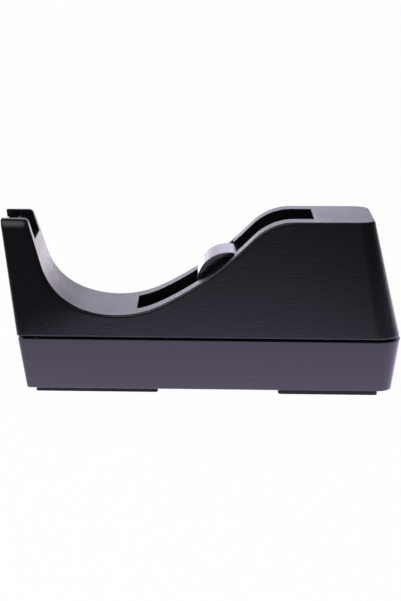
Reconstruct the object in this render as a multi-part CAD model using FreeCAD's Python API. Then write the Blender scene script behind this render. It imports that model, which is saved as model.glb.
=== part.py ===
import FreeCAD, Part
import math
import os

# Desk tape dispenser: a hollow upper shell with a tape well, hub and cutter head,
# screwed to a lower housing that carries a ballast block and a small drawer.
# Frame: X along the length with the cutter at -X, Y across, Z up from the desk.
# Lengths are millimetres and angles are degrees.

Vec = FreeCAD.Vector

# ---- Heights above the desk ----
PAD_HEIGHT = 1.6
PARTING_Z = 22.6            # middle of the shadow gap between base and shell
SHADOW_GAP = 1.0
HEAD_TOP_Z = 69.1
REAR_TOP_Z = 70.3           # where the rear top begins
TOP_RISE = 0.4              # the rear top climbs gently towards the back

# ---- Ends and sides of the two mouldings ----
SHELL_FRONT_X = -74.02      # at the foot of the shell
FRONT_LEAN = 8.65           # shell front leans out over the base
SHELL_REAR_X = 79.8         # at the foot of the shell
REAR_LEAN = 13.7
HALF_WIDTH = 21.5           # at the parting line
SHELL_DRAFT = 1.3
HEAD_TAPER_ANGLE = 7.0      # extra inward lean of the head cheeks
HEAD_TAPER_BLEND = 110.0
TAPER_LINE_X = -62.0        # a point on the line about which the cheeks lean
TAPER_LINE_Z = 29.2
TAPER_LINE_ANGLE = 25.8
TAPER_END_X = -25.0         # the sides are plane behind this
BASE_FRONT_STEP = 0.42      # top of the base behind the foot of the shell
BASE_REAR_X = 80.0
BASE_FRONT_DRAFT = 9.3
BASE_REAR_DRAFT = 9.0
BASE_SIDE_DRAFT = 4.0

# ---- Cradle outline, from its lowest point both ways ----
CRADLE_X = -34.9
CRADLE_Z = 32.05
FRONT_FOOT_RADIUS = 40.5
FRONT_FOOT_ANGLE = 19.6
FRONT_SIDE_RADIUS = 25.8
FRONT_SIDE_ANGLE = 52.7
REAR_FOOT_RADIUS = 41.3
REAR_FOOT_ANGLE = 26.1
REAR_SIDE_RADIUS = 126.0
REAR_SIDE_ANGLE = 18.9
SHOULDER_RADIUS = 22.5      # convex arc into the rear top

# ---- Corners and rims ----
REAR_CORNER_FOOT = 10.0
REAR_CORNER_TOP = 6.5
BASE_REAR_CORNER_FOOT = 6.0
FRONT_CORNER = 1.5
HEAD_BACK_ROUND = 2.0
CORNER_LEAST = 0.3
HEAD_RIM_ROUND = 4.6         # outer top edges of the head
SLOPE_RIM_ROUND = 2.2       # behind them, fading down the cradle
RIM_ROUND = 1.1
FRONT_RIM_ROUND = 0.5
LIP_ROUND = 0.7
BASE_FOOT_ROUND = 0.8

# ---- Walls ----
SHELL_WALL = 1.8
LINER_WALL = 1.6
BASE_WALL = 2.2
BASE_FLOOR = 2.0
RIB = 1.4

# ---- Tape well and hub ----
WELL_WIDTH = 24.0
WELL_RADIUS = 33.94         # about the hub axis
WELL_SWEEP_ANGLE = 123.4    # the floor arc turns this far, then ramps up forwards
WELL_RAMP_DROP = 5.05       # the ramp ends this far below the cradle, at an upright wall
HUB_X = 10.16
HUB_Z = 43.55
HUB_DIAMETER = 25.0
HUB_WIDTH = 20.5
HUB_WALL = 1.8
HUB_RECESS = 1.8
HUB_WEB = 1.4
HUB_EDGE = 0.4
HUB_SEAT = 0.5              # ledge inside the barrel that the cap seats on
HUB_SPIGOT_RADIUS = 3.2
HUB_SPIGOT_GAP = 0.3
STUB_RADIUS = 2.25
STUB_END_FIT = 0.4
AXLE_SLOT_INSET = 4.5       # slot end to the widest side
SADDLE_WALL = 1.8
RUNNING_FIT = 0.08

# ---- Cutter head ----
CHANNEL_WIDTH = 20.2
HEAD_WEB_REACH = 20.0       # webs and cuts of the head reach this far behind its front
SHELF_DROP = 11.6           # shelf under the blade holder, below the head top
SHELF_THICK = 1.5
CHANNEL_FOOT_DROP = 8.7     # lower end of the channel on the cradle side
HOLDER_FIT = 0.12
HOLDER_WALL = 1.6
HOLDER_SETBACK = 0.8        # holder face behind the shell front
HOLDER_REAR_FIT = 0.4
HOLDER_FACE_DROP = 4.0      # top of the wall that carries the blade, below the cheek tops
GROOVE_DROP = 5.6           # finger groove between that wall and the landing
HOLDER_BACK_DROP = 7.4      # floor behind the landing
LANDING_DROP = 1.8
LANDING_WIDTH = 2.7
LANDING_REACH = 6.4         # middle of the landing, behind the head front
HOLDER_SCREW_Y = 5.6
SCREW_RIB_HALF = 2.1
BLADE_THICK = 0.5
BLADE_WIDTH = 19.2
BLADE_FOOT_DROP = 9.5
BLADE_TIP_DROP = 2.9
TOOTH_COUNT = 16
TOOTH_DEPTH = 0.9
STAKE_RADIUS = 0.75
STAKE_DROP = 6.7
STAKE_Y = 6.4
STAKE_HEAD = 0.2

# ---- Case screws and bosses ----
SCREW_FRONT_X = -63.5
SCREW_MIDDLE_X = -14.0
SCREW_REAR_X = 50.0
SCREW_INSET = 5.3
SCREW_RADIUS = 1.1
SCREW_HEAD_RADIUS = 2.1
SCREW_HEAD_HEIGHT = 1.4
SCREW_REACH = 8.0           # thread engaged in the shell
BASE_BOSS_RADIUS = 2.5
SHELL_BOSS_RADIUS = 3.0
BOSS_HEIGHT = 12.0
HOLE_FIT = 0.08
SHANK_CLEARANCE = 0.15
HEAD_CLEARANCE = 0.3
HEAD_COVER = 0.2            # head sunk below the underside
HOLDER_SCREW_HEAD_RADIUS = 1.7
HOLDER_SCREW_HEAD_HEIGHT = 1.2
HOLDER_SCREW_RADIUS = 1.0
HOLDER_SCREW_LENGTH = 3.4

# ---- Locating tongue between base and shell ----
TONGUE_THICK = 1.4
TONGUE_HEIGHT = 3.0
TONGUE_FIT = 0.25
TONGUE_ROOT = 4.0           # overlap with the inside of the base wall
TONGUE_LIP_INSET = 6.5
BOSS_NOTCH_FIT = 0.4

# ---- Drawer, its bay and the deck above it ----
BAY_INSET = 8.3
BAY_WALL = 1.2
BAY_FRONT_X = -66.6
BAY_WELL_GAP = 0.25         # the bay ends this far before the space the tape turns in
DECK_THICK = 2.0
DECK_FIT = 0.2
DRAWER_FIT = 0.3
DRAWER_WALL = 1.2
DRAWER_SIDE_DROP = 1.8      # side walls below the deck
DRAWER_FACE_THICK = 2.0
OPENING_JAMB = 3.6          # side wall left beside the drawer opening
FINGER_RADIUS = 7.0
FINGER_DROP = 1.2           # centre of the finger notch above the face's top edge
FINGER_REACH = 60.0         # the notch tool ends here, short of the drawer's rear wall
LUG_HALF_WIDTH = 6.0
LUG_GAP = 0.4
STOP_X = -62.0              # rear face of the stop bar under the deck
STOP_THICK = 1.4
STOP_DEPTH = 1.3
STOP_SLACK = 0.2

# ---- Ballast ----
BALLAST_FRONT_X = 54.0
BALLAST_REAR_X = 72.0
BALLAST_INSET = 5.5
BALLAST_TOP_Z = 40.0
BALLAST_EDGE = 1.5
BALLAST_RIB_X = 62.0
BALLAST_FIT = 0.2
POCKET_RIB_HEIGHT = 6.0
CRADLE_RIB_FRONT_X = -50.0
CRADLE_RIB_REAR_X = -38.0
CRADLE_RIB_INSET = 4.1

# ---- Underside pads ----
FRONT_PAD_START_X = -66.7
FRONT_PAD_END_X = -17.6
FRONT_PAD_INSET = 3.0
REAR_PAD_START_X = 30.9
REAR_PAD_END_X = 70.8
REAR_PAD_INSET = 2.2
PAD_CORNER = 1.5

# ---- Derived levels and places ----
BASE_TOP_Z = PARTING_Z - SHADOW_GAP / 2
BASE_FRONT_X = SHELL_FRONT_X + BASE_FRONT_STEP
SHELL_FOOT_Z = PARTING_Z + SHADOW_GAP / 2
FLOOR_Z = PAD_HEIGHT + BASE_FLOOR
DECK_FOOT_Z = BASE_TOP_Z - DECK_THICK
CLEAR = 100.0               # cutting tools run this far past the part
NEAR = 0.01                 # a point this close lies on a face
SMOOTH = 0.95               # faces whose normals agree more than this meet smoothly
SCREW_SEAT_Z = PAD_HEIGHT + HEAD_COVER + SCREW_HEAD_HEIGHT
HEAD_FRONT_X = SHELL_FRONT_X - (HEAD_TOP_Z - SHELL_FOOT_Z) * math.tan(math.radians(FRONT_LEAN))
HEAD_WEB_END_X = HEAD_FRONT_X + HEAD_WEB_REACH
SHELF_Z = HEAD_TOP_Z - SHELF_DROP
CHANNEL_FOOT_Z = HEAD_TOP_Z - CHANNEL_FOOT_DROP
HOLDER_FACE_Z = HEAD_TOP_Z - HOLDER_FACE_DROP
GROOVE_Z = HEAD_TOP_Z - GROOVE_DROP
HOLDER_BACK_Z = HEAD_TOP_Z - HOLDER_BACK_DROP
LANDING_Z = HEAD_TOP_Z - LANDING_DROP
LANDING_X = HEAD_FRONT_X + LANDING_REACH
BLADE_FOOT_Z = HEAD_TOP_Z - BLADE_FOOT_DROP
BLADE_TIP_Z = HEAD_TOP_Z - BLADE_TIP_DROP
STAKE_Z = HEAD_TOP_Z - STAKE_DROP
AXLE_SLOT_END_Y = HALF_WIDTH - AXLE_SLOT_INSET
STUB_END_Y = AXLE_SLOT_END_Y - STUB_END_FIT
SCREW_Y = HALF_WIDTH - SCREW_INSET
OPENING_HALF_WIDTH = HALF_WIDTH - OPENING_JAMB
DRAWER_FACE_HALF_WIDTH = OPENING_HALF_WIDTH - DRAWER_FIT
BAY_HALF_WIDTH = HALF_WIDTH - BAY_INSET
BAY_REAR_X = HUB_X - WELL_RADIUS - BAY_WELL_GAP
TONGUE_LIP_HALF_WIDTH = HALF_WIDTH - TONGUE_LIP_INSET
CRADLE_RIB_HALF_WIDTH = HALF_WIDTH - CRADLE_RIB_INSET
BALLAST_HALF_WIDTH = HALF_WIDTH - BALLAST_INSET
FRONT_PAD_HALF_WIDTH = HALF_WIDTH - FRONT_PAD_INSET
REAR_PAD_HALF_WIDTH = HALF_WIDTH - REAR_PAD_INSET


def tan(degrees):
    return math.tan(math.radians(degrees))


def cos(degrees):
    return math.cos(math.radians(degrees))


def sin(degrees):
    return math.sin(math.radians(degrees))


def shell_front_x(z):
    return HEAD_FRONT_X + (HEAD_TOP_Z - z) * tan(FRONT_LEAN)


def shell_rear_x(z):
    return SHELL_REAR_X - (z - SHELL_FOOT_Z) * tan(REAR_LEAN)


def shell_half_width(z):
    return HALF_WIDTH - (z - PARTING_Z) * tan(SHELL_DRAFT)


def base_front_x(z):
    return BASE_FRONT_X + (BASE_TOP_Z - z) * tan(BASE_FRONT_DRAFT)


def base_rear_x(z):
    return BASE_REAR_X - (BASE_TOP_Z - z) * tan(BASE_REAR_DRAFT)


def base_half_width(z):
    return HALF_WIDTH - (BASE_TOP_Z - z) * tan(BASE_SIDE_DRAFT)


# ---- Drawing and solid helpers ----
def box(x0, x1, y0, y1, z0, z1):
    return Part.makeBox(x1 - x0, y1 - y0, z1 - z0, Vec(x0, y0, z0))


def post(x, y, z0, z1, radius):
    return Part.makeCylinder(radius, z1 - z0, Vec(x, y, z0))


def fuse(*shapes):
    return shapes[0].fuse(list(shapes[1:])).removeSplitter()


def polygon(points):
    """Closed XZ outline through (x, z) points."""
    corners = [Vec(x, 0, z) for x, z in points]
    return Part.makePolygon(corners + corners[:1])


def across(wire, half_width):
    """Extrude an XZ outline both ways across the part."""
    face = Part.Face(wire)
    face.translate(Vec(0, -half_width, 0))
    return face.extrude(Vec(0, 2 * half_width, 0))


class Pen:
    """Walks an XZ outline by straight runs and tangent arcs."""

    def __init__(self, x, z, heading):
        self.point = Vec(x, 0, z)
        self.heading = heading
        self.edges = []

    def run(self, length):
        step = Vec(cos(self.heading), 0, sin(self.heading)) * length
        self.edges.append(Part.LineSegment(self.point, self.point + step).toShape())
        self.point = self.point + step

    def run_to_height(self, z):
        self.run((z - self.point.z) / sin(self.heading))

    def line_to(self, x, z):
        end = Vec(x, 0, z)
        self.edges.append(Part.LineSegment(self.point, end).toShape())
        self.point = end

    def arc(self, radius, turn):
        """Positive turns go anticlockwise, seen with X right and Z up."""
        side = math.copysign(1, turn)
        heading = self.heading
        centre = self.point + Vec(-sin(heading), 0, cos(heading)) * (side * radius)

        def at(angle):
            return centre + Vec(sin(heading + angle), 0, -cos(heading + angle)) * (side * radius)

        self.edges.append(Part.Arc(self.point, at(turn / 2), at(turn)).toShape())
        self.point = at(turn)
        self.heading = heading + turn


def edges_on(shape, *tests):
    """Edges whose ends and middle pass every test."""
    found = []
    for edge in shape.Edges:
        first, last = edge.ParameterRange
        points = [edge.valueAt(first + (last - first) * share) for share in (0.02, 0.5, 0.98)]
        if all(test(point) for test in tests for point in points):
            found.append(edge)
    return found


def rounded_rectangle(x0, x1, half_width, front_radius, rear_radius, z):
    """Closed outline at height z with its own corner radius at each end."""
    fr, rr, hw = front_radius, rear_radius, half_width
    diagonal = math.sqrt(0.5)
    corners = (
        ((x1 - rr, -hw + rr), rr, ((0, -1), (diagonal, -diagonal), (1, 0))),
        ((x1 - rr, hw - rr), rr, ((1, 0), (diagonal, diagonal), (0, 1))),
        ((x0 + fr, hw - fr), fr, ((0, 1), (-diagonal, diagonal), (-1, 0))),
        ((x0 + fr, -hw + fr), fr, ((-1, 0), (-diagonal, -diagonal), (0, -1))),
    )
    arcs = []
    for (cx, cy), radius, directions in corners:
        arcs.append([Vec(cx + dx * radius, cy + dy * radius, z) for dx, dy in directions])
    edges = []
    for index, arc in enumerate(arcs):
        following = arcs[(index + 1) % len(arcs)]
        edges.append(Part.Arc(*arc).toShape())
        edges.append(Part.LineSegment(arc[2], following[0]).toShape())
    return Part.Wire(edges)


# ---- Upper shell ----
def shell_outline(inset, foot_z):
    """Side outline of the shell, moved inwards by the inset."""
    front = Pen(CRADLE_X, CRADLE_Z - inset, 180.0)
    front.arc(FRONT_FOOT_RADIUS + inset, -FRONT_FOOT_ANGLE)
    front.arc(FRONT_SIDE_RADIUS + inset, -FRONT_SIDE_ANGLE)
    front.run_to_height(HEAD_TOP_Z - inset)
    front_inset = inset / cos(FRONT_LEAN)
    front.line_to(shell_front_x(HEAD_TOP_Z - inset) + front_inset, HEAD_TOP_Z - inset)
    front.line_to(shell_front_x(foot_z) + front_inset, foot_z)

    rear = Pen(CRADLE_X, CRADLE_Z - inset, 0.0)
    rear.arc(REAR_FOOT_RADIUS + inset, REAR_FOOT_ANGLE)
    rear.arc(REAR_SIDE_RADIUS + inset, REAR_SIDE_ANGLE)
    radius = SHOULDER_RADIUS - inset
    climb = rear.heading
    rear.run_to_height(REAR_TOP_Z - inset - radius * (cos(TOP_RISE) - cos(climb)))
    rear.arc(radius, TOP_RISE - climb)
    rear_inset = inset / cos(REAR_LEAN)
    start = rear.point
    reach = shell_rear_x(start.z) - rear_inset - start.x
    length = reach / (cos(TOP_RISE) + sin(TOP_RISE) * tan(REAR_LEAN))
    rear.run(length)
    rear.line_to(shell_rear_x(foot_z) - rear_inset, foot_z)
    rear.line_to(front.point.x, foot_z)
    return Part.Wire(Part.sortEdges(front.edges + rear.edges)[0])


def side_slab(side, inset, taper):
    """Solid whose outer face is the drafted side, leaning in by the taper at the head."""
    outward = Vec(0, side * cos(SHELL_DRAFT), sin(SHELL_DRAFT))
    along = Vec(cos(TAPER_LINE_ANGLE), 0, sin(TAPER_LINE_ANGLE))
    along = (along - outward * along.dot(outward)).normalize()
    upward = along.cross(outward) * side
    origin = Vec(TAPER_LINE_X, side * shell_half_width(TAPER_LINE_Z), TAPER_LINE_Z)
    origin = origin - outward * inset - along * (2 * CLEAR)
    radius = HEAD_TAPER_BLEND - inset
    lead = radius * tan(taper / 2)

    def at(up, out):
        return origin + upward * up + outward * out

    def on_blend(angle):
        return at(radius * sin(angle) - lead, radius * (cos(angle) - 1))

    outline = [at(CLEAR, -CLEAR), at(-CLEAR, -CLEAR), at(-CLEAR, 0)]
    if taper:
        start, middle, end = on_blend(0), on_blend(taper / 2), on_blend(taper)
        tip = end + (upward * cos(taper) - outward * sin(taper)) * CLEAR
        blend = [Part.Arc(start, middle, end).toShape()]
        path = Part.makePolygon([end, tip] + outline + [start])
        wire = Part.Wire(Part.sortEdges(blend + path.Edges)[0])
    else:
        wire = Part.makePolygon([at(CLEAR, 0)] + outline + [at(CLEAR, 0)])
    return Part.Face(wire).extrude(along * (4 * CLEAR))


def shell_envelope(inset, foot_z):
    """Outer form of the shell, or a copy of it moved inwards by the inset."""
    body = across(shell_outline(inset, foot_z), 2 * HALF_WIDTH)
    halves = []
    for x0, x1, taper in ((-CLEAR, TAPER_END_X, HEAD_TAPER_ANGLE), (TAPER_END_X, CLEAR, 0.0)):
        half = body.common(box(x0, x1, -CLEAR, CLEAR, -CLEAR, CLEAR))
        for side in (1, -1):
            half = half.common(side_slab(side, inset, taper))
        halves.append(half)
    body = fuse(*halves)

    def on_rear(point):
        return abs(point.x - shell_rear_x(point.z) + inset / cos(REAR_LEAN)) < NEAR

    def on_side(point):
        half_width = shell_half_width(point.z) - inset / cos(SHELL_DRAFT)
        return abs(abs(point.y) - half_width) < NEAR

    corners = edges_on(body, on_rear, on_side)
    return body.makeFillet(REAR_CORNER_TOP - inset, REAR_CORNER_FOOT - inset, corners)


def cradle_front():
    """Pen at the top of the cradle's front arcs, and the point between the two arcs."""
    pen = Pen(CRADLE_X, CRADLE_Z, 180.0)
    pen.arc(FRONT_FOOT_RADIUS, -FRONT_FOOT_ANGLE)
    between = pen.point
    pen.arc(FRONT_SIDE_RADIUS, -FRONT_SIDE_ANGLE)
    return pen, between


def rim_radius(point):
    """Rounding of the shell's upper rim behind the head, fading down the cradle."""
    if point.x > CRADLE_X:
        return RIM_ROUND
    pen, foot = cradle_front()
    share = (foot.x - point.x) / (foot.x - pen.point.x - NEAR)
    return RIM_ROUND + (SLOPE_RIM_ROUND - RIM_ROUND) * min(1.0, max(0.0, share))


def normals_at(shape, edge, point):
    """Outward normals of the two faces that meet at an edge."""
    normals = []
    for face in shape.ancestorsOfType(edge, Part.Face):
        u, v = face.Surface.parameter(point)
        normals.append(face.normalAt(u, v))
    return normals


def edge_radii(shape, edge):
    """Rounding at each end of one edge of the sharp shell, or None to leave it."""
    first, last = edge.ParameterRange
    middle = edge.valueAt((first + last) / 2)
    normals = normals_at(shape, edge, middle)
    if len(normals) < 2 or normals[0].dot(normals[1]) > SMOOTH:
        return None
    crosswise = all(abs(normal.y) < NEAR for normal in normals)
    if abs(middle.z - SHELL_FOOT_Z) < NEAR:
        return LIP_ROUND, LIP_ROUND
    if all(normal.z < 0.5 * sin(TOP_RISE + 30.0) for normal in normals):
        return FRONT_CORNER, FRONT_CORNER
    if crosswise and all(normal.z > NEAR for normal in normals):
        return (HEAD_BACK_ROUND, HEAD_BACK_ROUND) if middle.x < CRADLE_X else (RIM_ROUND, RIM_ROUND)
    if crosswise:
        return FRONT_RIM_ROUND, FRONT_RIM_ROUND
    if abs(middle.z - HEAD_TOP_Z) < NEAR:
        return HEAD_RIM_ROUND, HEAD_RIM_ROUND
    return rim_radius(edge.valueAt(first)), rim_radius(edge.valueAt(last))


def round_shell(shape):
    """All outer edges of the shell in one fillet, each with its own radius."""
    document = FreeCAD.newDocument("rounding")
    source = document.addObject("Part::Feature", "Sharp")
    source.Shape = shape
    fillet = document.addObject("Part::Fillet", "Rounded")
    fillet.Base = source
    edges = []
    for number, edge in enumerate(shape.Edges, 1):
        radii = edge_radii(shape, edge)
        if radii:
            edges.append((number,) + radii)
    fillet.Edges = edges
    document.recompute()
    rounded = fillet.Shape.copy()
    FreeCAD.closeDocument("rounding")
    return rounded


def well_outline(offset):
    """Side outline of the tape well, open upwards, grown by the offset."""
    radius = WELL_RADIUS + offset
    pen = Pen(HUB_X + radius, CLEAR, -90.0)
    pen.run_to_height(HUB_Z)
    pen.arc(radius, -WELL_SWEEP_ANGLE)
    pen.run_to_height(CRADLE_Z - WELL_RAMP_DROP - offset * tan(90.0 - WELL_SWEEP_ANGLE / 2))
    pen.line_to(pen.point.x, CLEAR)
    pen.line_to(HUB_X + radius, CLEAR)
    return Part.Wire(pen.edges)


def cradle_face_x(z):
    """X of the straight cradle face behind the head."""
    pen, between = cradle_front()
    return pen.point.x + (z - pen.point.z) * cos(pen.heading) / sin(pen.heading)


def screw_places():
    rows = (SCREW_FRONT_X, SCREW_MIDDLE_X, SCREW_REAR_X)
    return [(x, side * SCREW_Y) for x in rows for side in (-1, 1)]


def make_upper_shell():
    inner_form = shell_envelope(SHELL_WALL / 2, 0.0)
    shell = round_shell(shell_envelope(0.0, SHELL_FOOT_Z))
    shell = shell.cut(shell_envelope(SHELL_WALL, SHELL_FOOT_Z))

    liner_half = WELL_WIDTH / 2 + LINER_WALL
    slot_half = STUB_RADIUS + RUNNING_FIT
    saddle = slot_half + SADDLE_WALL
    channel = CHANNEL_WIDTH / 2
    channel_outer = channel + LINER_WALL
    webs = [across(well_outline(LINER_WALL), liner_half)]
    webs.append(box(HUB_X - saddle, HUB_X + saddle, -HALF_WIDTH, HALF_WIDTH, HUB_Z - saddle, CLEAR))
    for x in (CRADLE_RIB_FRONT_X, CRADLE_RIB_REAR_X):
        webs.append(box(x, x + RIB, -CRADLE_RIB_HALF_WIDTH, CRADLE_RIB_HALF_WIDTH, BASE_TOP_Z, CLEAR))
    webs.append(box(BALLAST_RIB_X, BALLAST_RIB_X + RIB, -HALF_WIDTH, HALF_WIDTH,
                    BALLAST_TOP_Z + BALLAST_FIT, CLEAR))
    shelf_foot = SHELF_Z - SHELF_THICK
    webs.append(box(-CLEAR, HEAD_WEB_END_X, -channel_outer, channel_outer, shelf_foot, SHELF_Z))
    for side in (-1, 1):
        y0, y1 = sorted((side * channel, side * channel_outer))
        webs.append(box(-CLEAR, HEAD_WEB_END_X, y0, y1, shelf_foot, CLEAR))
    webs = [web.common(inner_form) for web in webs]
    boss_top = BASE_TOP_Z + BOSS_HEIGHT
    for x, y in screw_places():
        webs.append(post(x, y, BASE_TOP_Z, boss_top, SHELL_BOSS_RADIUS))
        y0, y1 = sorted((y, math.copysign(HALF_WIDTH, y)))
        gusset = box(x - RIB / 2, x + RIB / 2, y0, y1, SHELL_FOOT_Z, boss_top)
        webs.append(gusset.common(inner_form))
    shell = shell.fuse(webs)

    cuts = [across(well_outline(0.0), WELL_WIDTH / 2)]
    slot_end = AXLE_SLOT_END_Y
    cuts.append(box(HUB_X - slot_half, HUB_X + slot_half, -slot_end, slot_end, HUB_Z, CLEAR))
    cuts.append(Part.makeCylinder(slot_half, 2 * slot_end, Vec(HUB_X, -slot_end, HUB_Z), Vec(0, 1, 0)))
    cuts.append(box(-CLEAR, HEAD_WEB_END_X, -channel, channel, CHANNEL_FOOT_Z, CLEAR))
    front_inner = shell_front_x(SHELF_Z) + 2 * SHELL_WALL
    cuts.append(box(-CLEAR, front_inner, -channel, channel, SHELF_Z, CLEAR))
    for x, y in screw_places():
        cuts.append(post(x, y, BASE_TOP_Z, boss_top - SHELL_WALL, SCREW_RADIUS + HOLE_FIT))
    for side in (-1, 1):
        hole = HOLDER_SCREW_RADIUS + SHANK_CLEARANCE
        cuts.append(post(LANDING_X, side * HOLDER_SCREW_Y, shelf_foot, SHELF_Z, hole))
    return shell.cut(cuts).removeSplitter()


# ---- Cutter head ----
def holder_face_x(z):
    return shell_front_x(z) + HOLDER_SETBACK


def holder_rear_x():
    """Upright rear face of the holder, just inside the cradle wall."""
    return cradle_face_x(CHANNEL_FOOT_Z) - (SHELL_WALL + HOLDER_REAR_FIT) / sin(FRONT_FOOT_ANGLE + FRONT_SIDE_ANGLE)


def holder_body(half, foot_z, sink):
    """Blade wall, groove floor and rear floor as one stepped block, or its hollow sunk by the wall."""
    shift = sink / cos(FRONT_LEAN)
    step_x = LANDING_X + LANDING_WIDTH / 2 - sink
    return across(polygon([
        (holder_face_x(foot_z) + shift, foot_z),
        (holder_face_x(GROOVE_Z - sink) + shift, GROOVE_Z - sink),
        (step_x, GROOVE_Z - sink),
        (step_x, HOLDER_BACK_Z - sink),
        (holder_rear_x() - sink, HOLDER_BACK_Z - sink),
        (holder_rear_x() - sink, foot_z),
    ]), half)


def front_normal():
    """Outward normal of the shell's leaning front."""
    return Vec(-cos(FRONT_LEAN), 0, -sin(FRONT_LEAN))


def stake(side, radius, start, length):
    """Pin on the holder's face, starting this far in front of it."""
    base = Vec(holder_face_x(STAKE_Z), side * STAKE_Y, STAKE_Z) + front_normal() * start
    return Part.makeCylinder(radius, length, base, front_normal())


def make_blade_holder():
    half = CHANNEL_WIDTH / 2 - HOLDER_FIT
    block = holder_body(half, SHELF_Z, 0.0)
    holder = block.cut(holder_body(half - HOLDER_WALL, SHELF_Z - HOLDER_WALL, HOLDER_WALL))
    wall = HOLDER_WALL / cos(FRONT_LEAN)
    additions = [across(polygon([
        (holder_face_x(SHELF_Z), SHELF_Z),
        (holder_face_x(HOLDER_FACE_Z), HOLDER_FACE_Z),
        (holder_face_x(HOLDER_FACE_Z) + wall, HOLDER_FACE_Z),
        (holder_face_x(SHELF_Z) + wall, SHELF_Z),
    ]), half)]
    landing_radius = LANDING_WIDTH / 2
    crest_z = LANDING_Z - landing_radius
    additions.append(box(LANDING_X - landing_radius, LANDING_X + landing_radius, -half, half,
                         HOLDER_BACK_Z - HOLDER_WALL, crest_z))
    additions.append(Part.makeCylinder(landing_radius, 2 * half, Vec(LANDING_X, -half, crest_z), Vec(0, 1, 0)))
    for side in (-1, 1):
        y = side * HOLDER_SCREW_Y
        screw_rib = box(-CLEAR, CLEAR, y - SCREW_RIB_HALF, y + SCREW_RIB_HALF, SHELF_Z, HEAD_TOP_Z)
        additions.append(screw_rib.common(block))
        reach = BLADE_THICK + STAKE_HEAD
        additions.append(stake(side, STAKE_RADIUS, -HOLDER_WALL / 2, reach + HOLDER_WALL / 2))
    holder = holder.fuse(additions)
    hole_top = SHELF_Z + HOLDER_SCREW_LENGTH + HOLDER_FIT
    for side in (-1, 1):
        hole = post(LANDING_X, side * HOLDER_SCREW_Y, SHELF_Z, hole_top, HOLDER_SCREW_RADIUS + HOLE_FIT)
        holder = holder.cut(hole)
    return holder.removeSplitter()


def make_cutter_blade():
    half = BLADE_WIDTH / 2
    pitch = BLADE_WIDTH / TOOTH_COUNT
    root_z = BLADE_TIP_Z - TOOTH_DEPTH
    corners = [(half, BLADE_FOOT_Z), (-half, BLADE_FOOT_Z), (-half, root_z)]
    for tooth in range(TOOTH_COUNT):
        corners.append((-half + (tooth + 0.5) * pitch, BLADE_TIP_Z))
        corners.append((-half + (tooth + 1) * pitch, root_z))
    points = [Vec(holder_face_x(z), y, z) for y, z in corners]
    plate = Part.Face(Part.makePolygon(points + points[:1]))
    blade = plate.extrude(front_normal() * BLADE_THICK)
    for side in (-1, 1):
        blade = blade.cut(stake(side, STAKE_RADIUS + HOLE_FIT, -BLADE_THICK, 3 * BLADE_THICK))
    return blade


def make_holder_screws():
    screws = []
    seat = SHELF_Z - SHELF_THICK
    for side in (-1, 1):
        y = side * HOLDER_SCREW_Y
        head = post(LANDING_X, y, seat - HOLDER_SCREW_HEAD_HEIGHT, seat, HOLDER_SCREW_HEAD_RADIUS)
        shank = post(LANDING_X, y, seat, SHELF_Z + HOLDER_SCREW_LENGTH, HOLDER_SCREW_RADIUS)
        screws.append(fuse(head, shank))
    return Part.makeCompound(screws)


# ---- Hub ----
def disc(radius, y0, y1):
    return Part.makeCylinder(radius, y1 - y0, Vec(HUB_X, y0, HUB_Z), Vec(0, 1, 0))


def make_hub_barrel():
    half = HUB_WIDTH / 2
    radius = HUB_DIAMETER / 2
    barrel = disc(radius, -half, half)
    barrel = barrel.makeChamfer(HUB_EDGE, edges_on(barrel, lambda p: abs(abs(p.y) - half) < NEAR))
    bore = radius - HUB_WALL
    web_out = half - HUB_RECESS
    web_in = web_out - HUB_WEB
    barrel = barrel.cut(disc(bore, -half, -web_out))
    barrel = barrel.cut(disc(bore - HUB_SEAT, -web_in, web_in))
    barrel = barrel.cut(disc(bore, web_in, half))
    return fuse(barrel, disc(STUB_RADIUS, -STUB_END_Y, -web_in))


def make_hub_cap():
    web_out = HUB_WIDTH / 2 - HUB_RECESS
    web_in = web_out - HUB_WEB
    web = disc(HUB_DIAMETER / 2 - HUB_WALL - RUNNING_FIT, web_in, web_out)
    spigot = disc(HUB_SPIGOT_RADIUS, -web_in + HUB_SPIGOT_GAP, web_in)
    return fuse(web, spigot, disc(STUB_RADIUS, web_out, STUB_END_Y))


# ---- Lower housing ----
def base_section(z, inset, foot_radius, top_radius):
    share = (z - PAD_HEIGHT) / (BASE_TOP_Z - PAD_HEIGHT)
    rear_radius = foot_radius + (top_radius - foot_radius) * share
    front_radius = max(FRONT_CORNER - inset, CORNER_LEAST)
    return rounded_rectangle(
        base_front_x(z) + inset / cos(BASE_FRONT_DRAFT),
        base_rear_x(z) - inset / cos(BASE_REAR_DRAFT),
        base_half_width(z) - inset / cos(BASE_SIDE_DRAFT),
        front_radius, rear_radius - inset, z,
    )


def base_form(z0, z1, inset):
    radii = (BASE_REAR_CORNER_FOOT, REAR_CORNER_FOOT)
    sections = [base_section(z, inset, *radii) for z in (z0, z1)]
    return Part.makeLoft(sections, True, True)


def tongue_prism(inset, z0, z1):
    """Block that fits inside the foot of the shell, for the locating tongue."""
    top = BASE_TOP_Z + TONGUE_HEIGHT
    wall = SHELL_WALL + TONGUE_FIT + inset
    section = rounded_rectangle(
        BAY_FRONT_X + inset,
        shell_rear_x(top) - wall / cos(REAR_LEAN),
        shell_half_width(top) - wall / cos(SHELL_DRAFT),
        CORNER_LEAST, REAR_CORNER_FOOT - wall, z0,
    )
    return Part.Face(section).extrude(Vec(0, 0, z1 - z0))


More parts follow.
